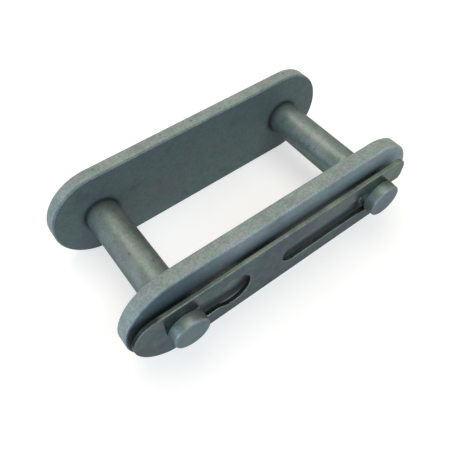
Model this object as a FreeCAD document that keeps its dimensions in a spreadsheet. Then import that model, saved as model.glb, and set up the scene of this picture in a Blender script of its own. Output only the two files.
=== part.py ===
"""Connecting link of a long-pitch roller chain: a riveted pin link, its loose cover plate and spring clip.

The frame: X runs along the line of the two pins, with the closed end of the clip at -X. Y runs along
the pins, from the clip's side at -Y to the riveted side at +Y. Z is up. The link stands on the
straight lower edges of its two side plates. The origin is under the middle of its box.
"""
import FreeCAD, Part
import math
import os
import Sketcher
from FreeCAD import Vector

# Driving dimensions, in millimetres. Each one is a cell of the sheet, with its name as alias.
SIZES = [
    ("pitch", 38.1, "between the two pin axes"),
    ("plate_height", 16.6, "both side plates; their ends are half rounds of this diameter"),
    ("back_thickness", 2.5, "riveted side plate"),
    ("cover_thickness", 2.5, "loose side plate"),
    ("plate_edge_break", 0.25, "tumbled outline edges of the side plates"),
    ("inside_width", 19.8, "between the side plates, as they stand"),
    ("pin_diameter", 5.9, "both pins, from the rivet head to the free end"),
    ("pin_end_round", 0.35, "rim of a pin's free end"),
    ("bore_clearance", 0.05, "on the radius, cover plate on pins"),
    ("bore_edge_break", 0.2, "edges of the cover plate's bores"),
    ("clip_gap", 1.1, "cover plate's outer face to the clip"),
    ("clip_thickness", 0.8, "spring steel strip"),
    ("groove_diameter", 4.4, "bottom of a pin's clip groove"),
    ("groove_clearance", 0.05, "each side of the clip in the groove"),
    ("pin_head_length", 1.92, "from the clip groove to a pin's free end"),
    ("rivet_diameter", 6.7, "upset end of a pin behind the back plate"),
    ("rivet_height", 1.33, "upset end, proud of the back plate"),
    ("rivet_round", 0.6, "rim of the upset end"),
    ("rivet_dimple_diameter", 2.6, "mark of the riveting tool"),
    ("rivet_dimple_depth", 0.45, "mark of the riveting tool"),
    ("clip_height", 10.9, "its closed end is a half round of this diameter"),
    ("clip_closed_reach", 7.8, "left pin's axis to the closed end"),
    ("clip_open_reach", 5.2, "right pin's axis to the tips of the legs"),
    ("clip_bend_reach", 2.75, "left pin's axis to the bend of the closed end"),
    ("clip_set_back", 0.65, "tip of the closed end, bent that far towards the cover plate"),
    ("clip_bend_round", 5.0, "radius of that bend"),
    ("clip_tip_round", 1.9, "outer corners of the leg tips, less where a tip is narrow"),
    ("clip_edge_break", 0.12, "blanked edges of the clip"),
    ("seat_clearance", 0.1, "on the radius, clip round a groove"),
    ("bulb_diameter", 6.4, "wide part of the keyhole; a pin's end passes through it"),
    ("bulb_reach", 8.3, "left pin's axis to the middle of the bulb"),
    ("bulb_blend", 1.6, "where the bulb runs into the keyhole's neck"),
    ("leg_slot_width", 4.7, "slot between the two legs"),
    ("leg_slot_reach", 20.3, "right pin's axis to the blind end of the leg slot"),
    ("throat_width", 1.6, "between the legs, just past the right pin"),
    ("throat_blend", 0.35, "shoulders that hold the right pin, and the corners of the mouth"),
    ("mouth_width", 3.2, "between the legs, at their tips"),
    ("mouth_depth", 0.5, "length of the flared mouth"),
]

doc = FreeCAD.newDocument("connecting_link")


def make_sheet():
    """The sheet of driving dimensions: a note, and beside it the value, with its name as alias."""
    made = doc.addObject("Spreadsheet::Sheet", "sizes")
    for row, (alias, value, note) in enumerate(SIZES, start=1):
        made.set(f"A{row}", note)
        made.set(f"B{row}", str(value))
        made.setAlias(f"B{row}", alias)
    return made


sheet = make_sheet()
doc.recompute()


def size(alias):
    """The value of a named cell, in millimetres."""
    return float(getattr(sheet, alias))


# Places that follow from the sizes, as expressions on the sheet's cells
PIN_LENGTH = (
    "(sizes.pin_head_length + sizes.groove_clearance + sizes.clip_thickness + sizes.clip_gap"
    " + sizes.cover_thickness + sizes.inside_width + sizes.back_thickness + sizes.rivet_height)"
)
GROOVE_WIDTH = "(sizes.clip_thickness + sizes.groove_clearance * 2)"
PIN_FRONT = f"(-{PIN_LENGTH} / 2)"
CLIP_FRONT = f"({PIN_FRONT} + sizes.pin_head_length + sizes.groove_clearance)"
COVER_FRONT = f"({CLIP_FRONT} + sizes.clip_thickness + sizes.clip_gap)"
BACK_FRONT = f"({COVER_FRONT} + sizes.cover_thickness + sizes.inside_width)"
AXIS_HEIGHT = "(sizes.plate_height / 2)"
LEFT_PIN = "(-sizes.pitch / 2)"
RIGHT_PIN = "(sizes.pitch / 2)"
PIN_RADIUS = "(sizes.pin_diameter / 2)"
BORE_RADIUS = f"({PIN_RADIUS} + sizes.bore_clearance)"
NECK_RADIUS = "(sizes.groove_diameter / 2 + sizes.seat_clearance)"

QUARTER_TURN = math.pi / 2

# Two places closer than this are one place
NEAR = 1e-4


def plane_of(body, role):
    """One of a body's own origin planes."""
    return next(f for f in body.Origin.OriginFeatures if f.Role == role)


def new_body(label, along_x, along_y):
    """A body with its own name, its local origin on the height of the pin axes."""
    body = doc.addObject("PartDesign::Body", label)
    body.Label = label
    body.setExpression("Placement.Base.x", along_x)
    body.setExpression("Placement.Base.y", along_y)
    body.setExpression("Placement.Base.z", AXIS_HEIGHT)
    return body


def new_sketch(body, name, role="XZ_Plane"):
    """An empty sketch on one of the body's origin planes."""
    sketch = body.newObject("Sketcher::SketchObject", name)
    sketch.AttachmentSupport = [(plane_of(body, role), "")]
    sketch.MapMode = "FlatFace"
    return sketch


def bind(sketch, constraint, name, expression):
    """Adds a dimension to a sketch and ties it to the sheet."""
    index = sketch.addConstraint(constraint)
    sketch.renameConstraint(index, name)
    sketch.setExpression(f"Constraints.{name}", expression)


def place_point(sketch, geometry, point, name, along, up=None):
    """Places a point of a sketch from its origin, along X and, if given, up."""
    bind(sketch, Sketcher.Constraint("DistanceX", -1, 1, geometry, point, 1.0), f"{name}_x", along)
    if up is None:
        sketch.addConstraint(Sketcher.Constraint("PointOnObject", geometry, point, -1))
    else:
        bind(sketch, Sketcher.Constraint("DistanceY", -1, 1, geometry, point, 1.0), f"{name}_up", up)


def value_of(expression):
    """The value of an expression on the sheet's cells, for the first draft of a sketch."""
    return float(sheet.evalExpression(expression.replace("sizes.", "")))


def draw_obround(body, name, left, right, radius):
    """A sketch of an obround: half rounds about two points of the X axis, joined by straight lines."""
    sketch = new_sketch(body, name)
    x_left, x_right, r = value_of(left), value_of(right), value_of(radius)
    right_circle = Part.Circle(Vector(x_right, 0, 0), Vector(0, 0, 1), r)
    left_circle = Part.Circle(Vector(x_left, 0, 0), Vector(0, 0, 1), r)
    right_arc = sketch.addGeometry(
        Part.ArcOfCircle(right_circle, -QUARTER_TURN, QUARTER_TURN), False
    )
    top = sketch.addGeometry(Part.LineSegment(Vector(x_right, r, 0), Vector(x_left, r, 0)), False)
    left_arc = sketch.addGeometry(
        Part.ArcOfCircle(left_circle, QUARTER_TURN, 3 * QUARTER_TURN), False
    )
    bottom = sketch.addGeometry(Part.LineSegment(Vector(x_left, -r, 0), Vector(x_right, -r, 0)), False)
    ring = [right_arc, top, left_arc, bottom]
    for first, second in zip(ring, ring[1:] + ring[:1]):
        sketch.addConstraint(Sketcher.Constraint("Tangent", first, 2, second, 1))
    sketch.addConstraint(Sketcher.Constraint("Horizontal", top))
    sketch.addConstraint(Sketcher.Constraint("Horizontal", bottom))
    bind(sketch, Sketcher.Constraint("Radius", right_arc, r), "end_radius", radius)
    place_point(sketch, right_arc, 3, "right_end", right)
    bind(sketch, Sketcher.Constraint("DistanceX", -1, 1, left_arc, 3, x_left), "left_end_x", left)
    return sketch


def draw_tongue(body, name, left, right, radius):
    """A sketch of a strip with a half-round left end about a point of the X axis and a square right end."""
    sketch = new_sketch(body, name)
    x_left, x_right, r = value_of(left), value_of(right), value_of(radius)
    circle = Part.Circle(Vector(x_left, 0, 0), Vector(0, 0, 1), r)
    arc = sketch.addGeometry(Part.ArcOfCircle(circle, QUARTER_TURN, 3 * QUARTER_TURN), False)
    corners = [Vector(x, y, 0) for x, y in ((x_left, -r), (x_right, -r), (x_right, r), (x_left, r))]
    bottom, end, top = [
        sketch.addGeometry(Part.LineSegment(first, second), False)
        for first, second in zip(corners, corners[1:])
    ]
    sketch.addConstraint(Sketcher.Constraint("Tangent", top, 2, arc, 1))
    sketch.addConstraint(Sketcher.Constraint("Tangent", arc, 2, bottom, 1))
    sketch.addConstraint(Sketcher.Constraint("Coincident", bottom, 2, end, 1))
    sketch.addConstraint(Sketcher.Constraint("Coincident", end, 2, top, 1))
    sketch.addConstraint(Sketcher.Constraint("Horizontal", bottom))
    sketch.addConstraint(Sketcher.Constraint("Horizontal", top))
    sketch.addConstraint(Sketcher.Constraint("Vertical", end))
    bind(sketch, Sketcher.Constraint("Radius", arc, r), "end_radius", radius)
    place_point(sketch, arc, 3, "round_end", left)
    bind(sketch, Sketcher.Constraint("DistanceX", -1, 1, end, 1, x_right), "square_end_x", right)
    return sketch


def draw_circles(body, name, centres, radius):
    """A sketch of equal circles about points of the X axis."""
    sketch = new_sketch(body, name)
    for number, centre in enumerate(centres):
        circle = sketch.addGeometry(
            Part.Circle(Vector(value_of(centre), 0, 0), Vector(0, 0, 1), value_of(radius)), False
        )
        bind(sketch, Sketcher.Constraint("Radius", circle, 1.0), f"radius_{number}", radius)
        place_point(sketch, circle, 3, f"centre_{number}", centre)
    return sketch


def draw_polygon(body, name, corners, role="XZ_Plane"):
    """A sketch of a closed polygon, each corner given as a pair of expressions."""
    sketch = new_sketch(body, name, role)
    points = [Vector(value_of(x), value_of(y), 0) for x, y in corners]
    lines = []
    for first, second in zip(points, points[1:] + points[:1]):
        lines.append(sketch.addGeometry(Part.LineSegment(first, second), False))
    for first, second in zip(lines, lines[1:] + lines[:1]):
        sketch.addConstraint(Sketcher.Constraint("Coincident", first, 2, second, 1))
    for number, (line, (x, y)) in enumerate(zip(lines, corners)):
        bind(sketch, Sketcher.Constraint("DistanceX", -1, 1, line, 1, 1.0), f"corner_{number}_x", x)
        bind(sketch, Sketcher.Constraint("DistanceY", -1, 1, line, 1, 1.0), f"corner_{number}_y", y)
    return sketch


def pad(body, name, sketch, thickness):
    """A sheet of metal from the sketch towards +Y."""
    made = body.newObject("PartDesign::Pad", name)
    made.Profile = sketch
    made.Reversed = True
    made.setExpression("Length", thickness)
    doc.recompute()


def cut_through(body, name, sketch):
    """A hole of the sketch's outline through the whole body, which has to take metal away."""
    before = body.Shape.Volume
    made = body.newObject("PartDesign::Pocket", name)
    made.Profile = sketch
    made.Type = "ThroughAll"
    made.Midplane = True
    doc.recompute()
    if not body.Shape.Volume < before:
        raise RuntimeError(f"{name} cuts nothing")


def turn(body, kind, name, profile):
    """A revolved solid, or a groove, of the profile about the body's Y axis."""
    made = body.newObject(f"PartDesign::{kind}", name)
    made.Profile = profile
    made.ReferenceAxis = (profile, ["V_Axis"])
    made.Angle = 360
    doc.recompute()


def dress(body, kind, name, reach, wanted):
    """A fillet or chamfer of those edges of the body, as it is so far, that meet a test."""
    base = body.Tip
    edges = [f"Edge{n}" for n, edge in enumerate(base.Shape.Edges, start=1) if wanted(edge)]
    made = body.newObject(f"PartDesign::{kind}", name)
    made.Base = (base, edges)
    made.setExpression("Radius" if kind == "Fillet" else "Size", reach)
    doc.recompute()


def is_circle(edge, radius):
    """Is the edge a round one of that radius?"""
    return isinstance(edge.Curve, Part.Circle) and abs(edge.Curve.Radius - radius) < NEAR


def is_across(edge):
    """Is the edge a straight one along Y, through the thickness of a plate?"""
    first, last = edge.firstVertex().Point, edge.lastVertex().Point
    return (last - first).Length > NEAR and abs(abs((last - first).y) - (last - first).Length) < NEAR


def place(edge):
    """The first end of an edge."""
    return edge.firstVertex().Point


def make_plate(label, front, thickness, bore_radius):
    """A side plate with half-round ends, a bore at each pin axis and broken outline edges."""
    body = new_body(label, "0 mm", front)
    outline = draw_obround(body, f"{label}_outline", LEFT_PIN, RIGHT_PIN, "sizes.plate_height / 2")
    pad(body, f"{label}_blank", outline, thickness)
    bores = draw_circles(body, f"{label}_bore_circles", [LEFT_PIN, RIGHT_PIN], bore_radius)
    cut_through(body, f"{label}_bores", bores)
    bore = value_of(bore_radius)
    dress(
        body,
        "Chamfer",
        f"{label}_edges",
        "sizes.plate_edge_break",
        lambda edge: not is_across(edge) and not is_circle(edge, bore),
    )
    return body


def make_cover_plate():
    """The loose plate: its bores clear the pins, and their edges are broken."""
    body = make_plate("cover_plate", COVER_FRONT, "sizes.cover_thickness", BORE_RADIUS)
    bore = value_of(BORE_RADIUS)
    dress(
        body,
        "Chamfer",
        "cover_plate_bore_edges",
        "sizes.bore_edge_break",
        lambda edge: is_circle(edge, bore),
    )
    return body


def make_pin(label, along_x):
    """A turned pin: free end with a clip groove behind it, plain shank, upset rivet head at the back.

    Its local origin is in its free end's face, and its axis is Y.
    """
    body = new_body(label, along_x, PIN_FRONT)
    shoulder = f"({PIN_LENGTH} - sizes.rivet_height)"
    profile = draw_polygon(
        body,
        f"{label}_profile",
        [
            ("0 mm", "0 mm"),
            (PIN_RADIUS, "0 mm"),
            (PIN_RADIUS, shoulder),
            ("sizes.rivet_diameter / 2", shoulder),
            ("sizes.rivet_diameter / 2", PIN_LENGTH),
            ("sizes.rivet_dimple_diameter / 2", PIN_LENGTH),
            ("0 mm", f"{PIN_LENGTH} - sizes.rivet_dimple_depth"),
        ],
        "XY_Plane",
    )
    turn(body, "Revolution", f"{label}_turned", profile)
    groove_end = f"(sizes.pin_head_length + {GROOVE_WIDTH})"
    band = draw_polygon(
        body,
        f"{label}_groove_band",
        [
            ("sizes.groove_diameter / 2", "sizes.pin_head_length"),
            ("sizes.pin_diameter", "sizes.pin_head_length"),
            ("sizes.pin_diameter", groove_end),
            ("sizes.groove_diameter / 2", groove_end),
        ],
        "XY_Plane",
    )
    before = body.Shape.Volume
    turn(body, "Groove", f"{label}_groove", band)
    if not body.Shape.Volume < before:
        raise RuntimeError(f"{label}_groove cuts nothing")
    pin_radius = value_of(PIN_RADIUS)
    dress(
        body,
        "Fillet",
        f"{label}_free_end",
        "sizes.pin_end_round",
        lambda edge: is_circle(edge, pin_radius) and abs(edge.Curve.Center.y) < NEAR,
    )
    rivet_radius = size("rivet_diameter") / 2
    rivet_end = value_of(PIN_LENGTH)
    dress(
        body,
        "Fillet",
        f"{label}_rivet_rim",
        "sizes.rivet_round",
        lambda edge: is_circle(edge, rivet_radius) and abs(edge.Curve.Center.y - rivet_end) < NEAR,
    )
    return body


def make_spring_clip():
    """The spring clip: a keyhole for the left pin, and two legs that close behind the right pin."""
    body = new_body("spring_clip", "0 mm", CLIP_FRONT)
    tips = f"({RIGHT_PIN} + sizes.clip_open_reach)"
    round_end = f"({LEFT_PIN} - sizes.clip_closed_reach + sizes.clip_height / 2)"
    outline = draw_tongue(body, "spring_clip_outline", round_end, tips, "sizes.clip_height / 2")
    pad(body, "spring_clip_blank", outline, "sizes.clip_thickness + sizes.clip_set_back")

    # The closed end leans back towards the cover plate: waste before it, and behind the flat part
    bend = f"({LEFT_PIN} - sizes.clip_bend_reach)"
    beyond = f"({LEFT_PIN} - sizes.clip_closed_reach * 2 + sizes.clip_bend_reach)"
    waste_before = draw_polygon(
        body,
        "spring_clip_waste_before_outline",
        [
            (bend, "0 mm"),
            (beyond, "sizes.clip_set_back * 2"),
            (beyond, "-sizes.clip_thickness"),
            (bend, "-sizes.clip_thickness"),
        ],
        "XY_Plane",
    )
    cut_through(body, "spring_clip_waste_before", waste_before)
    waste_behind = draw_polygon(
        body,
        "spring_clip_waste_behind_outline",
        [
            (beyond, "sizes.clip_thickness + sizes.clip_set_back * 2"),
            (bend, "sizes.clip_thickness"),
            (f"({tips} + sizes.clip_height)", "sizes.clip_thickness"),
            (f"({tips} + sizes.clip_height)", "sizes.clip_thickness + sizes.clip_set_back * 2"),
        ],
        "XY_Plane",
    )
    cut_through(body, "spring_clip_waste_behind", waste_behind)
    bend_x = value_of(bend)
    dress(
        body,
        "Fillet",
        "spring_clip_bend",
        "sizes.clip_bend_round",
        lambda edge: isinstance(edge.Curve, Part.Line)
        and all(abs(vertex.Point.x - bend_x) < NEAR for vertex in edge.Vertexes),
    )

    # The keyhole: a neck that fits the left pin's groove, and a bulb that its end passes through
    bulb_centre = f"({LEFT_PIN} + sizes.bulb_reach)"
    neck = draw_obround(body, "spring_clip_neck_outline", LEFT_PIN, bulb_centre, NECK_RADIUS)
    cut_through(body, "spring_clip_neck", neck)
    bulb = draw_circles(body, "spring_clip_bulb_circle", [bulb_centre], "sizes.bulb_diameter / 2")
    cut_through(body, "spring_clip_bulb", bulb)

    # The leg slot: blind end near the middle, narrower throat and flared mouth past the right pin
    slot_radius = "sizes.leg_slot_width / 2"
    slot_start = f"({RIGHT_PIN} - sizes.leg_slot_reach + {slot_radius})"
    slot = draw_obround(body, "spring_clip_slot_outline", slot_start, RIGHT_PIN, slot_radius)
    cut_through(body, "spring_clip_slot", slot)
    mouth_start = f"({tips} - sizes.mouth_depth)"
    throat = draw_polygon(
        body,
        "spring_clip_throat_outline",
        [
            (RIGHT_PIN, "-sizes.throat_width / 2"),
            (mouth_start, "-sizes.throat_width / 2"),
            (tips, "-sizes.mouth_width / 2"),
            (tips, "sizes.mouth_width / 2"),
            (mouth_start, "sizes.throat_width / 2"),
            (RIGHT_PIN, "sizes.throat_width / 2"),
        ],
    )
    cut_through(body, "spring_clip_throat", throat)

    # Blends where the bulb runs into the neck
    neck_radius = value_of(NECK_RADIUS)
    pin_to_bulb = (value_of(LEFT_PIN), value_of(bulb_centre))
    dress(
        body,
        "Fillet",
        "spring_clip_bulb_blend",
        "sizes.bulb_blend",
        lambda edge: is_across(edge)
        and pin_to_bulb[0] < place(edge).x < pin_to_bulb[1]
        and abs(abs(place(edge).z) - neck_radius) < NEAR,
    )

    # Blends on the shoulders behind the right pin and along the mouth
    half_throat = size("throat_width") / 2
    half_mouth = size("mouth_width") / 2
    right_pin_x = value_of(RIGHT_PIN)
    dress(
        body,
        "Fillet",
        "spring_clip_throat_blend",
        "sizes.throat_blend",
        lambda edge: is_across(edge)
        and place(edge).x > right_pin_x
        and half_throat - NEAR < abs(place(edge).z) < half_mouth + NEAR,
    )

    # Outer corners of the legs, as round as a tip's width allows
    tips_x = value_of(tips)
    half_clip = size("clip_height") / 2
    tip_room = "sizes.clip_height / 2 - sizes.mouth_width / 2 - sizes.throat_blend"
    dress(
        body,
        "Fillet",
        "spring_clip_tips",
        f"min(sizes.clip_tip_round; {tip_room})",
        lambda edge: is_across(edge)
        and abs(place(edge).x - tips_x) < NEAR
        and abs(place(edge).z) > half_clip - NEAR,
    )
    dress(
        body,
        "Chamfer",
        "spring_clip_edges",
        "sizes.clip_edge_break",
        lambda edge: not is_across(edge),
    )
    return body


def check_and_export(bodies):
    """Stops if anything failed, and writes each piece to a file of its own name."""
    doc.recompute()
    for item in doc.Objects:
        if "Invalid" in item.State or "Error" in item.State:
            raise RuntimeError(f"{item.Name} failed: {item.State}")
    os.makedirs("parts", exist_ok=True)
    for body in bodies:
        shape = body.Shape
        if shape.isNull() or not shape.isValid() or len(shape.Solids) != 1:
            raise RuntimeError(f"{body.Label} is not one valid solid")
    for body in bodies:
        body.Shape.exportStep(os.path.join("parts", f"{body.Label}.step"))
        box = body.Shape.optimalBoundingBox(False)
        print(
            f"{body.Label}: {body.Shape.Volume:.1f} mm3, x {box.XMin:.2f} to {box.XMax:.2f},"
            f" y {box.YMin:.2f} to {box.YMax:.2f}, z {box.ZMin:.2f} to {box.ZMax:.2f}"
        )


back_plate = make_plate("back_plate", BACK_FRONT, "sizes.back_thickness", PIN_RADIUS)
left_pin = make_pin("left_pin", LEFT_PIN)
right_pin = make_pin("right_pin", RIGHT_PIN)
cover_plate = make_cover_plate()
spring_clip = make_spring_clip()
check_and_export([back_plate, left_pin, right_pin, cover_plate, spring_clip])
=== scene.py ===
"""Looks of the chain connecting link: finish of its five steel pieces, light, floor and camera.

Lengths are in metres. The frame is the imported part's: X along the line of the pins, Y along the pins
from the clip's side to the riveted side, Z up, origin on the floor under the middle of the link.
"""
import math

import bpy
from mathutils import Matrix, Vector

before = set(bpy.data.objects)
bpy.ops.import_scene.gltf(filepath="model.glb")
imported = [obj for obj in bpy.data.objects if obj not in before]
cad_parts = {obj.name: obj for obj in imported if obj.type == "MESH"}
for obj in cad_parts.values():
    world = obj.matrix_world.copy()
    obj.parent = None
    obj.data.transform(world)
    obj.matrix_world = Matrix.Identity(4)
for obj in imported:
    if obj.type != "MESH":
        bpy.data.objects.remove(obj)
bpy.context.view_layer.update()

MM = 0.001

# The camera, as fitted to the photograph's edges
IMAGE_WIDTH = 450
FOCAL_PIXELS = 482.3
SENSOR_WIDTH = 36.0
CAMERA_TARGET = Vector((-1.939, 0.87, 1.864)) * MM
CAMERA_DISTANCE = 84.526 * MM
CAMERA_AZIMUTH = math.radians(-35.672)
CAMERA_ELEVATION = math.radians(54.365)
CAMERA_ROLL = math.radians(-1.328)
CAMERA_NUDGE = 0.044 * MM
CAMERA_NEAR = 1.0 * MM
CAMERA_FAR = 10.0

# Soft light from all round: its colour goes with the height, and its strength from front to back
SKY_LOW = (0.74, 0.89, 1.0, 1.0)
SKY_HIGH = (1.0, 0.95, 0.85, 1.0)
SKY_HEIGHTS = (0.0, 0.9)
SKY_FRONT_TO_BACK = (-1.0, 1.0)
SKY_FRONT_STRENGTH = 0.09
SKY_BACK_STRENGTH = 0.65

# Lamps: name, place, width, height, power in watts and colour
LAMPS = [
    ("key", (0.03, 0.13, 0.50), 0.36, 0.36, 0.97, (1.0, 0.95, 0.84)),
    ("window", (-0.50, -0.02, 0.11), 0.35, 0.20, 1.5, (0.40, 0.64, 1.0)),
    ("front", (0.03, -0.31, 0.44), 0.50, 0.24, 1.4, (0.72, 0.88, 1.0)),
]

# The floor: its glow is one thing for the camera, and another for what it lights
FLOOR_HALF_WIDTH = 1.5
FLOOR_COLOUR = (0.58, 0.535, 0.49, 1.0)
FLOOR_GLOW = 0.56
FLOOR_FAR_GLOW = 1.0
FLOOR_BOUNCE = 0.12
FLOOR_FAR_BOUNCE = 0.35
FLOOR_FADE = (0.07, 0.22)

WHITE = (1.0, 1.0, 1.0, 1.0)
BLACK = (0.0, 0.0, 0.0, 1.0)
WHOLE = (0.0, 1.0)

# The sockets of a mix node that carry its factor and its colours
MIX_FACTOR = 0
MIX_FIRST = 6
MIX_SECOND = 7
MIX_RESULT = 2

# Places on the link
HALF_PITCH = 19.05 * MM
AXIS_HEIGHT = 8.3 * MM
CLIP_END_MIDDLE = -21.4 * MM

# A surface is flat where its normal lies along Y, and a rim where it lies across it. It is an inner
# face where it looks back at the middle of the link: its place times its normal, in Y, is negative.
FLAT_FACING = (0.3, 0.7)
CALM_FACING = (0.75, 0.95)
INNER_FACING = (-6.0 * MM, -8.5 * MM)
OUTER_FACE_Y = (-10.9 * MM, -11.1 * MM)

# Each layer of the finish: waves a metre, depth of detail and its roughness
CLOUDS = (170.0, 3.0, 0.55)
PATCHES = (700.0, 3.0, 0.6)
TINTS = (420.0, 3.0, 0.55)
STAINS = (260.0, 2.0, 0.5)
SPECKLE = (3000.0, 2.0, 0.5)
GRAIN = (7000.0, 2.0, 0.5)

# How much of a layer's swing is used
CLOUD_SWING = (0.35, 0.65)
PATCH_SWING = (0.35, 0.65)
TINT_SWING = (0.38, 0.62)
SPECKLE_SWING = (0.38, 0.62)
STAIN_SWING = (0.60, 0.72)
GLOSS_SWING = (0.3, 0.7)
MIDDLE_TONE = 0.5
STAIN_DEPTH = 0.28
PINK_TINT = (1.07, 0.98, 1.04, 1.0)
GREEN_TINT = (0.95, 1.02, 0.96, 1.0)

# Where the clip's rim grows paler with painted light and its upper leg with a painted sheen, and where the
# cover plate grows darker with painted shade
CLIP_RIM_X = (-18.0 * MM, 8.0 * MM)
SHEEN_X = (2.0 * MM, 21.0 * MM)
SHEEN_Z = (8.0 * MM, 10.8 * MM)
CLOSED_END_SHADE_X = (-8.0 * MM, -17.0 * MM)

# Painted shade in the corners between the pins and the back plate
CORNER_SHADE = (0.03, 0.035, 0.035, 1.0)
CORNER_SHADE_DEPTH = 0.75
CORNER_REACH = (3.1 * MM, 4.1 * MM)
CORNER_START_Y = (9.3 * MM, 11.0 * MM)
CORNER_END_Y = (13.75 * MM, 14.1 * MM)

# Painted shade on the cover plate's outer face, behind the clip and round the pins
CLIP_SHADE = (0.03, 0.033, 0.033, 1.0)
CLIP_SHADE_START = (2.4 * MM, 3.5 * MM)
CLIP_SHADE_TOP = (4.0 * MM, 5.3 * MM)
CLIP_SHADE_FOOT = (-5.6 * MM, -5.1 * MM)
CLIP_SHADE_END_X = (20.0 * MM, 23.5 * MM)
COLLAR_REACH = (3.0 * MM, 4.8 * MM)
COLLAR_DEPTH = 0.85

# Specks: small pits, one to a cell at most. The cell's own number, past the lower chance, is its reach.
PITS_A_METRE = 900.0
PIT_CHANCES = (0.5, 1.0)
PIT_REACH = 0.26
PIT_SLOPE = (-0.03, 0.12)
PIT_DEPTH = 0.7
PIT_RELIEF = 1.5

# Edges: how far the rounded normal turns from the true one where an edge is worn
WORN_FACING = (0.995, 0.85)
BEVEL_SAMPLES = 6
# Painted shade on the worn edges of the faces between the plates
INNER_EDGE_SHADE = (0.06, 0.075, 0.065, 1.0)
INNER_EDGE_SHADE_DEPTH = 6.5
RELIEF_STRENGTH = 0.6

# Finish of each kind of steel. Pale and dark are the two ends of its mottling.
PLATE_LOOK = {
    "pale": (0.325, 0.364, 0.314, 1.0),
    "dark": (0.175, 0.199, 0.180, 1.0),
    # Paler worn edges: partly wear, partly a painted highlight
    "edge": (0.44, 0.48, 0.44, 1.0),
    "speck": (0.075, 0.090, 0.090, 1.0),
    # Faces along Y are lighter and bluer than the rims: a painted cool light from the front
    "flat": (1.20, 1.27, 1.50, 1.0),
    # Painted shade on the faces that look in between the plates
    "inner_painted_shade": (0.47, 0.50, 0.47, 1.0),
    # Painted shade on the cover's outer face towards the clip's closed end
    "closed_end_painted_shade": (0.43, 0.50, 0.52, 1.0),
    # How dark the painted shade behind the clip and round the pins is
    "clip_painted_shade": 0.85,
    "metallic": 0.10,
    "specular": 0.08,
    "grazing": (0.5, 0.5, 0.5, 1.0),
    "roughness": (0.44, 0.58),
    "relief": 0.010 * MM,
    "speckle": 0.42,
    "calm": 0.50,
    "edge_radius": 0.20 * MM,
    "wear_and_highlight": 0.15,
}
PIN_LOOK = {
    "pale": (0.226, 0.260, 0.226, 1.0),
    "dark": (0.138, 0.163, 0.148, 1.0),
    # Paler worn edges: partly wear, partly a painted highlight
    "edge": (0.44, 0.48, 0.47, 1.0),
    "speck": (0.09, 0.105, 0.10, 1.0),
    # The heads' faces are lighter and bluer: a painted cool light from the front
    "flat": (1.06, 1.12, 1.36, 1.0),
    "metallic": 0.50,
    "specular": 0.08,
    "grazing": (0.2, 0.2, 0.2, 1.0),
    "roughness": (0.32, 0.42),
    "relief": 0.007 * MM,
    "speckle": 0.35,
    "calm": 0.6,
    "edge_radius": 0.15 * MM,
    "wear_and_highlight": 0.85,
}
CLIP_LOOK = {
    "pale": (0.158, 0.190, 0.185, 1.0),
    "dark": (0.074, 0.103, 0.128, 1.0),
    # Paler worn edges: partly wear, partly a painted highlight
    "edge": (0.33, 0.36, 0.30, 1.0),
    "speck": (0.06, 0.075, 0.08, 1.0),
    # The clip's rims: painted shade towards the closed end, painted light towards the tips
    "closed_end_rim_shade": (0.24, 0.24, 0.20, 1.0),
    "open_end_rim_light": (1.15, 1.12, 0.82, 1.0),
    # A painted sheen on the upper leg towards the open end
    "open_end_painted_sheen": (1.45, 1.48, 1.26, 1.0),
    "metallic": 0.92,
    "specular": 0.10,
    "grazing": (0.45, 0.45, 0.45, 1.0),
    "roughness": (0.18, 0.30),
    "relief": 0.002 * MM,
    "speckle": 0.10,
    "calm": 0.7,
    "edge_radius": 0.07 * MM,
    "wear_and_highlight": 0.9,
}


def add_node(tree, kind, **settings):
    """A node of that kind, with its properties set."""
    node = tree.nodes.new(kind)
    for name, value in settings.items():
        setattr(node, name, value)
    return node


def feed(tree, value, socket):
    """Gives an input its value: a node's output, or a plain number or colour."""
    if isinstance(value, bpy.types.NodeSocket):
        tree.links.new(value, socket)
    else:
        socket.default_value = value


def noise(tree, point, layer):
    """A noise texture on the piece's own coordinates."""
    scale, detail, roughness = layer
    node = add_node(tree, "ShaderNodeTexNoise")
    feed(tree, point, node.inputs["Vector"])
    node.inputs["Scale"].default_value = scale
    node.inputs["Detail"].default_value = detail
    node.inputs["Roughness"].default_value = roughness
    return node.outputs["Fac"]


def remap(tree, value, span, low=0.0, high=1.0):
    """Maps a span of a value to the range from low to high, and holds it at the ends."""
    node = add_node(tree, "ShaderNodeMapRange")
    feed(tree, value, node.inputs["Value"])
    node.inputs["From Min"].default_value = span[0]
    node.inputs["From Max"].default_value = span[1]
    node.inputs["To Min"].default_value = low
    node.inputs["To Max"].default_value = high
    return node.outputs["Result"]


def mix_colour(tree, factor, first, second, blend="MIX"):
    """Mixes two colours, each given as a node's output or as a plain colour."""
    node = add_node(tree, "ShaderNodeMix", data_type="RGBA", blend_type=blend)
    feed(tree, factor, node.inputs[MIX_FACTOR])
    feed(tree, first, node.inputs[MIX_FIRST])
    feed(tree, second, node.inputs[MIX_SECOND])
    return node.outputs[MIX_RESULT]


def combine(tree, operation, first, second=0.0):
    """A mathematical operation on one or two values, each given as a node's output or a number."""
    node = add_node(tree, "ShaderNodeMath", operation=operation)
    feed(tree, first, node.inputs[0])
    feed(tree, second, node.inputs[1])
    return node.outputs[0]


def product(tree, first, *others):
    """The product of several values."""
    result = first
    for value in others:
        result = combine(tree, "MULTIPLY", result, value)
    return result


def distance_from(tree, across, above):
    """The length of two offsets at right angles."""
    squares = combine(tree, "ADD", product(tree, across, across), product(tree, above, above))
    return combine(tree, "SQRT", squares)


def tinted_by(tree, colour, film, share=None):
    """A colour multiplied by another, all over or as far as a share says."""
    if share is not None:
        film = mix_colour(tree, share, WHITE, film)
    return mix_colour(tree, 1.0, colour, film, "MULTIPLY")


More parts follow.
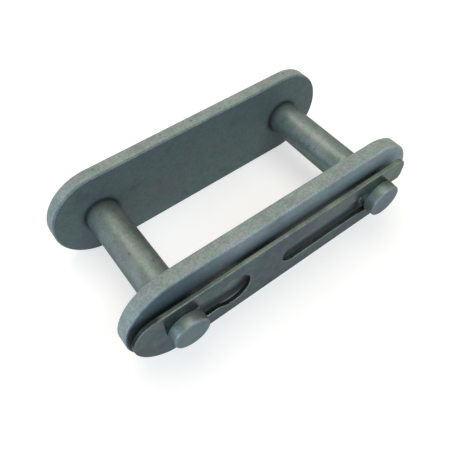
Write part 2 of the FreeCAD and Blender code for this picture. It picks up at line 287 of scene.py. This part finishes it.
def find_places(tree):
    """What the layers of a finish go by: where a point lies on the link, and which way it faces."""
    where = add_node(tree, "ShaderNodeTexCoord")
    position = add_node(tree, "ShaderNodeSeparateXYZ")
    normal = add_node(tree, "ShaderNodeSeparateXYZ")
    feed(tree, where.outputs["Object"], position.inputs["Vector"])
    feed(tree, where.outputs["Normal"], normal.inputs["Vector"])
    x, y, z = position.outputs
    normal_y = normal.outputs["Y"]
    across = combine(tree, "SUBTRACT", combine(tree, "ABSOLUTE", x), HALF_PITCH)
    above = combine(tree, "SUBTRACT", z, AXIS_HEIGHT)
    facing = combine(tree, "ABSOLUTE", normal_y)
    on_flat = remap(tree, facing, FLAT_FACING)
    return {
        "point": where.outputs["Object"],
        "x": x,
        "y": y,
        "z": z,
        "above": above,
        "from_pin": distance_from(tree, across, above),
        "facing": facing,
        "on_flat": on_flat,
        "on_inner": remap(tree, product(tree, normal_y, y), INNER_FACING),
        "on_outer": product(tree, remap(tree, y, OUTER_FACE_Y), on_flat),
    }


def mottled(tree, look, at, clouds, speckle, calm):
    """Bare steel: clouds, patches a millimetre across, finer speckle, and a faint play of tints."""
    half_smooth = (1.0 - look["speckle"]) / 2
    cloud_share = remap(tree, clouds, CLOUD_SWING, 0.0, half_smooth)
    patch_share = remap(tree, noise(tree, at["point"], PATCHES), PATCH_SWING, 0.0, half_smooth)
    speckle_share = remap(tree, speckle, SPECKLE_SWING, 0.0, look["speckle"])
    share = combine(tree, "ADD", combine(tree, "ADD", cloud_share, patch_share), speckle_share)

    # Where the steel is calm, the mottling keeps closer to its middle tone
    swing = product(tree, combine(tree, "SUBTRACT", share, MIDDLE_TONE), calm)
    colour = mix_colour(tree, combine(tree, "ADD", swing, MIDDLE_TONE), look["dark"], look["pale"])
    tints = remap(tree, noise(tree, at["point"], TINTS), TINT_SWING)
    return tinted_by(tree, colour, mix_colour(tree, tints, PINK_TINT, GREEN_TINT))


def painted_light_and_shade(tree, look, at, colour):
    """Painted light and shade: tones of the rims and the flats, a painted sheen on the clip's upper leg, and
    painted shade on the inner faces and towards the clip's closed end.
    """
    rim = WHITE
    # The clip's rims carry painted shade at the closed end and painted light towards the tips
    if "open_end_rim_light" in look:
        towards_tips = remap(tree, at["x"], CLIP_RIM_X)
        rim = mix_colour(tree, towards_tips, look["closed_end_rim_shade"], look["open_end_rim_light"])
    # The flats are lighter and bluer than the rims: painted cool light from the front
    flat = look.get("flat", WHITE)
    colour = tinted_by(tree, colour, mix_colour(tree, at["on_flat"], rim, flat))
    # A painted sheen on the clip's upper leg towards the open end
    if "open_end_painted_sheen" in look:
        upper_leg = product(tree, remap(tree, at["x"], SHEEN_X), remap(tree, at["z"], SHEEN_Z))
        colour = tinted_by(tree, colour, look["open_end_painted_sheen"], product(tree, upper_leg, at["on_flat"]))
    # Painted shade on the faces between the plates
    if "inner_painted_shade" in look:
        colour = tinted_by(tree, colour, look["inner_painted_shade"], at["on_inner"])
    # Painted shade on the cover's outer face, darker towards the clip's closed end
    if "closed_end_painted_shade" in look:
        end_shade = product(tree, at["on_outer"], remap(tree, at["x"], CLOSED_END_SHADE_X))
        colour = tinted_by(tree, colour, look["closed_end_painted_shade"], end_shade)
    return colour


def stained_and_shaded(tree, look, at, colour):
    """Soft stains on the flats, painted shade in the corners at the back plate, and painted shade behind the
    clip and round the pins.
    """
    stains = remap(tree, noise(tree, at["point"], STAINS), STAIN_SWING, 0.0, STAIN_DEPTH)
    colour = mix_colour(tree, product(tree, stains, at["on_flat"]), colour, look["speck"])

    # Painted shade in the corners where the pins meet the back plate
    near_pin = remap(tree, at["from_pin"], CORNER_REACH, 1.0, 0.0)
    near_plate = remap(tree, at["y"], CORNER_START_Y)
    before_end = remap(tree, at["y"], CORNER_END_Y, 1.0, 0.0)
    corner = product(tree, near_plate, before_end, near_pin)
    colour = mix_colour(tree, product(tree, corner, corner, CORNER_SHADE_DEPTH), colour, CORNER_SHADE)
    if "clip_painted_shade" not in look:
        return colour

    # Painted shade on the cover's outer face, in the gap behind the clip and round the pins
    past_middle = combine(tree, "MINIMUM", combine(tree, "SUBTRACT", at["x"], CLIP_END_MIDDLE), 0.0)
    behind_clip = product(
        tree,
        remap(tree, distance_from(tree, past_middle, at["above"]), CLIP_SHADE_START),
        remap(tree, at["above"], CLIP_SHADE_TOP, 1.0, 0.0),
        remap(tree, at["above"], CLIP_SHADE_FOOT),
        remap(tree, at["x"], CLIP_SHADE_END_X, 1.0, 0.0),
    )
    collar = remap(tree, at["from_pin"], COLLAR_REACH, COLLAR_DEPTH, 0.0)
    shaded_share = product(tree, combine(tree, "MAXIMUM", behind_clip, collar), at["on_outer"], look["clip_painted_shade"])
    return mix_colour(tree, shaded_share, colour, CLIP_SHADE)


def find_specks(tree, at):
    """Pits of uneven size, in about half of the cells."""
    cells = add_node(tree, "ShaderNodeTexVoronoi", feature="F1")
    feed(tree, at["point"], cells.inputs["Vector"])
    cells.inputs["Scale"].default_value = PITS_A_METRE
    chance = add_node(tree, "ShaderNodeSeparateColor")
    feed(tree, cells.outputs["Color"], chance.inputs["Color"])
    reach = remap(tree, chance.outputs[0], PIT_CHANCES, 0.0, PIT_REACH)
    depth = combine(tree, "SUBTRACT", reach, cells.outputs["Distance"])
    return remap(tree, depth, PIT_SLOPE, 0.0, PIT_DEPTH)


def worn_and_highlighted(tree, look, at, rounded, colour):
    """Edges a little rounded by tumbling: paler where they are worn, partly as a painted highlight, and with
    painted shade on the inner faces.
    """
    geometry = add_node(tree, "ShaderNodeNewGeometry")
    turn = add_node(tree, "ShaderNodeVectorMath", operation="DOT_PRODUCT")
    feed(tree, rounded, turn.inputs[0])
    feed(tree, geometry.outputs["True Normal"], turn.inputs[1])
    wear_and_highlight = remap(tree, turn.outputs["Value"], WORN_FACING, 0.0, look["wear_and_highlight"])
    # Paler worn edges: partly wear, partly a painted highlight
    colour = mix_colour(tree, wear_and_highlight, colour, look["edge"])
    # Painted shade on the worn edges of the inner faces
    return mix_colour(tree, product(tree, wear_and_highlight, at["on_inner"], INNER_EDGE_SHADE_DEPTH), colour, INNER_EDGE_SHADE)


def relief(tree, look, at, speckle, specks, rounded):
    """The surface's fine grain, with the specks as shallow pits in it."""
    fine = combine(tree, "ADD", noise(tree, at["point"], GRAIN), speckle)
    bump = add_node(tree, "ShaderNodeBump")
    bump.inputs["Strength"].default_value = RELIEF_STRENGTH
    bump.inputs["Distance"].default_value = look["relief"]
    feed(tree, combine(tree, "SUBTRACT", fine, product(tree, specks, PIT_RELIEF)), bump.inputs["Height"])
    feed(tree, rounded, bump.inputs["Normal"])
    return bump.outputs["Normal"]


def steel(name, look):
    """Tumbled steel: mottled, with painted light and shade, stains, specks, worn edges with a painted
    highlight, and a fine relief.
    """
    material = bpy.data.materials.new(name)
    material.use_nodes = True
    tree = material.node_tree
    shader = tree.nodes["Principled BSDF"]
    at = find_places(tree)
    clouds = noise(tree, at["point"], CLOUDS)
    speckle = noise(tree, at["point"], SPECKLE)
    specks = find_specks(tree, at)
    calm = remap(tree, at["facing"], CALM_FACING, 1.0, look["calm"])
    bevel = add_node(tree, "ShaderNodeBevel", samples=BEVEL_SAMPLES)
    bevel.inputs["Radius"].default_value = look["edge_radius"]
    rounded = bevel.outputs["Normal"]

    colour = mottled(tree, look, at, clouds, speckle, calm)
    colour = painted_light_and_shade(tree, look, at, colour)
    colour = stained_and_shaded(tree, look, at, colour)
    colour = mix_colour(tree, product(tree, specks, calm), colour, look["speck"])
    feed(tree, worn_and_highlighted(tree, look, at, rounded, colour), shader.inputs["Base Color"])
    feed(tree, relief(tree, look, at, speckle, specks, rounded), shader.inputs["Normal"])

    # The gloss has the same clouds in it
    smooth, rough = look["roughness"]
    feed(tree, remap(tree, clouds, GLOSS_SWING, smooth, rough), shader.inputs["Roughness"])
    shader.inputs["Metallic"].default_value = look["metallic"]
    shader.inputs["Specular IOR Level"].default_value = look["specular"]
    shader.inputs["Specular Tint"].default_value = look["grazing"]
    return material


def dress(node, material):
    """Gives a CAD piece its finish, and smooth shading within each of its faces."""
    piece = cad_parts[node]
    piece.data.materials.clear()
    piece.data.materials.append(material)
    for face in piece.data.polygons:
        face.use_smooth = True


def shown_directly(tree):
    """One for what the camera sees, straight or in gloss or glass, and nought for diffuse light."""
    rays = add_node(tree, "ShaderNodeLightPath")
    indirect = combine(tree, "MAXIMUM", rays.outputs["Is Glossy Ray"], rays.outputs["Is Transmission Ray"])
    return combine(tree, "MAXIMUM", rays.outputs["Is Camera Ray"], indirect)


def floor_material():
    """Matt and glowing near the link. Away from it, an even white as far as the horizon."""
    material = bpy.data.materials.new("floor")
    material.use_nodes = True
    tree = material.node_tree
    tree.nodes.clear()
    where = add_node(tree, "ShaderNodeTexCoord")
    distance = add_node(tree, "ShaderNodeVectorMath", operation="LENGTH")
    feed(tree, where.outputs["Object"], distance.inputs[0])
    far = remap(tree, distance.outputs["Value"], FLOOR_FADE)
    diffuse = add_node(tree, "ShaderNodeBsdfDiffuse")
    feed(tree, mix_colour(tree, far, FLOOR_COLOUR, BLACK), diffuse.inputs["Color"])

    shown = remap(tree, far, WHOLE, FLOOR_GLOW, FLOOR_FAR_GLOW)
    bounced = remap(tree, far, WHOLE, FLOOR_BOUNCE, FLOOR_FAR_BOUNCE)
    lift = product(tree, shown_directly(tree), combine(tree, "SUBTRACT", shown, bounced))
    glow = add_node(tree, "ShaderNodeEmission")
    glow.inputs["Color"].default_value = WHITE
    feed(tree, combine(tree, "ADD", bounced, lift), glow.inputs["Strength"])

    both = add_node(tree, "ShaderNodeAddShader")
    feed(tree, diffuse.outputs["BSDF"], both.inputs[0])
    feed(tree, glow.outputs["Emission"], both.inputs[1])
    output = add_node(tree, "ShaderNodeOutputMaterial")
    feed(tree, both.outputs["Shader"], output.inputs["Surface"])
    return material


def make_floor():
    """A white floor that keeps the link's soft shadow."""
    half = FLOOR_HALF_WIDTH
    mesh = bpy.data.meshes.new("floor")
    corners = [(-half, -half, 0.0), (half, -half, 0.0), (half, half, 0.0), (-half, half, 0.0)]
    mesh.from_pydata(corners, [], [(0, 1, 2, 3)])
    mesh.materials.append(floor_material())
    floor = bpy.data.objects.new("floor", mesh)
    bpy.context.scene.collection.objects.link(floor)


def make_world():
    """Soft light, cooler towards the horizon and weaker in front, on a white background."""
    world = bpy.data.worlds.new("studio")
    bpy.context.scene.world = world
    world.use_nodes = True
    tree = world.node_tree
    tree.nodes.clear()
    where = add_node(tree, "ShaderNodeTexCoord")
    axes = add_node(tree, "ShaderNodeSeparateXYZ")
    feed(tree, where.outputs["Generated"], axes.inputs["Vector"])
    height = remap(tree, axes.outputs["Z"], SKY_HEIGHTS)
    strength = remap(tree, axes.outputs["Y"], SKY_FRONT_TO_BACK, SKY_FRONT_STRENGTH, SKY_BACK_STRENGTH)
    sky = add_node(tree, "ShaderNodeBackground")
    feed(tree, mix_colour(tree, height, SKY_LOW, SKY_HIGH), sky.inputs["Color"])
    feed(tree, strength, sky.inputs["Strength"])

    white = add_node(tree, "ShaderNodeBackground")
    white.inputs["Color"].default_value = WHITE
    white.inputs["Strength"].default_value = 1.0
    choice = add_node(tree, "ShaderNodeMixShader")
    feed(tree, shown_directly(tree), choice.inputs[0])
    feed(tree, sky.outputs["Background"], choice.inputs[1])
    feed(tree, white.outputs["Background"], choice.inputs[2])
    output = add_node(tree, "ShaderNodeOutputWorld")
    feed(tree, choice.outputs["Shader"], output.inputs["Surface"])


def area_lamp(name, place, width, height, power, colour):
    """A soft rectangular lamp that looks at the link."""
    lamp = bpy.data.lights.new(name, "AREA")
    lamp.shape = "RECTANGLE"
    lamp.size = width
    lamp.size_y = height
    lamp.energy = power
    lamp.color = colour
    holder = bpy.data.objects.new(name, lamp)
    holder.location = place
    holder.rotation_euler = (-Vector(place)).to_track_quat("-Z", "Y").to_euler()
    bpy.context.scene.collection.objects.link(holder)


def make_camera():
    """The photograph's own viewpoint."""
    azimuth, elevation, roll = CAMERA_AZIMUTH, CAMERA_ELEVATION, CAMERA_ROLL
    level_reach = math.cos(elevation)
    back = Vector((math.sin(azimuth) * level_reach, -math.cos(azimuth) * level_reach, math.sin(elevation)))
    level = Vector((0.0, 0.0, 1.0)).cross(back).normalized()
    upright = back.cross(level)
    right = level * math.cos(roll) + upright * math.sin(roll)
    up = upright * math.cos(roll) - level * math.sin(roll)
    data = bpy.data.cameras.new("camera")
    data.sensor_width = SENSOR_WIDTH
    data.lens = FOCAL_PIXELS / IMAGE_WIDTH * SENSOR_WIDTH
    data.clip_start = CAMERA_NEAR
    data.clip_end = CAMERA_FAR
    camera = bpy.data.objects.new("camera", data)
    turn = Matrix((right, up, back)).transposed().to_4x4()
    nudge = up * CAMERA_NUDGE - right * CAMERA_NUDGE
    camera.matrix_world = Matrix.Translation(CAMERA_TARGET + nudge + back * CAMERA_DISTANCE) @ turn
    bpy.context.scene.collection.objects.link(camera)
    bpy.context.scene.camera = camera


plate_steel = steel("plate_steel", PLATE_LOOK)
pin_steel = steel("pin_steel", PIN_LOOK)
clip_steel = steel("clip_steel", CLIP_LOOK)
dress("back_plate", plate_steel)
dress("cover_plate", plate_steel)
dress("left_pin", pin_steel)
dress("right_pin", pin_steel)
dress("spring_clip", clip_steel)
make_floor()
make_world()
for lamp_facts in LAMPS:
    area_lamp(*lamp_facts)
make_camera()
bpy.context.scene.view_settings.view_transform = "Standard"
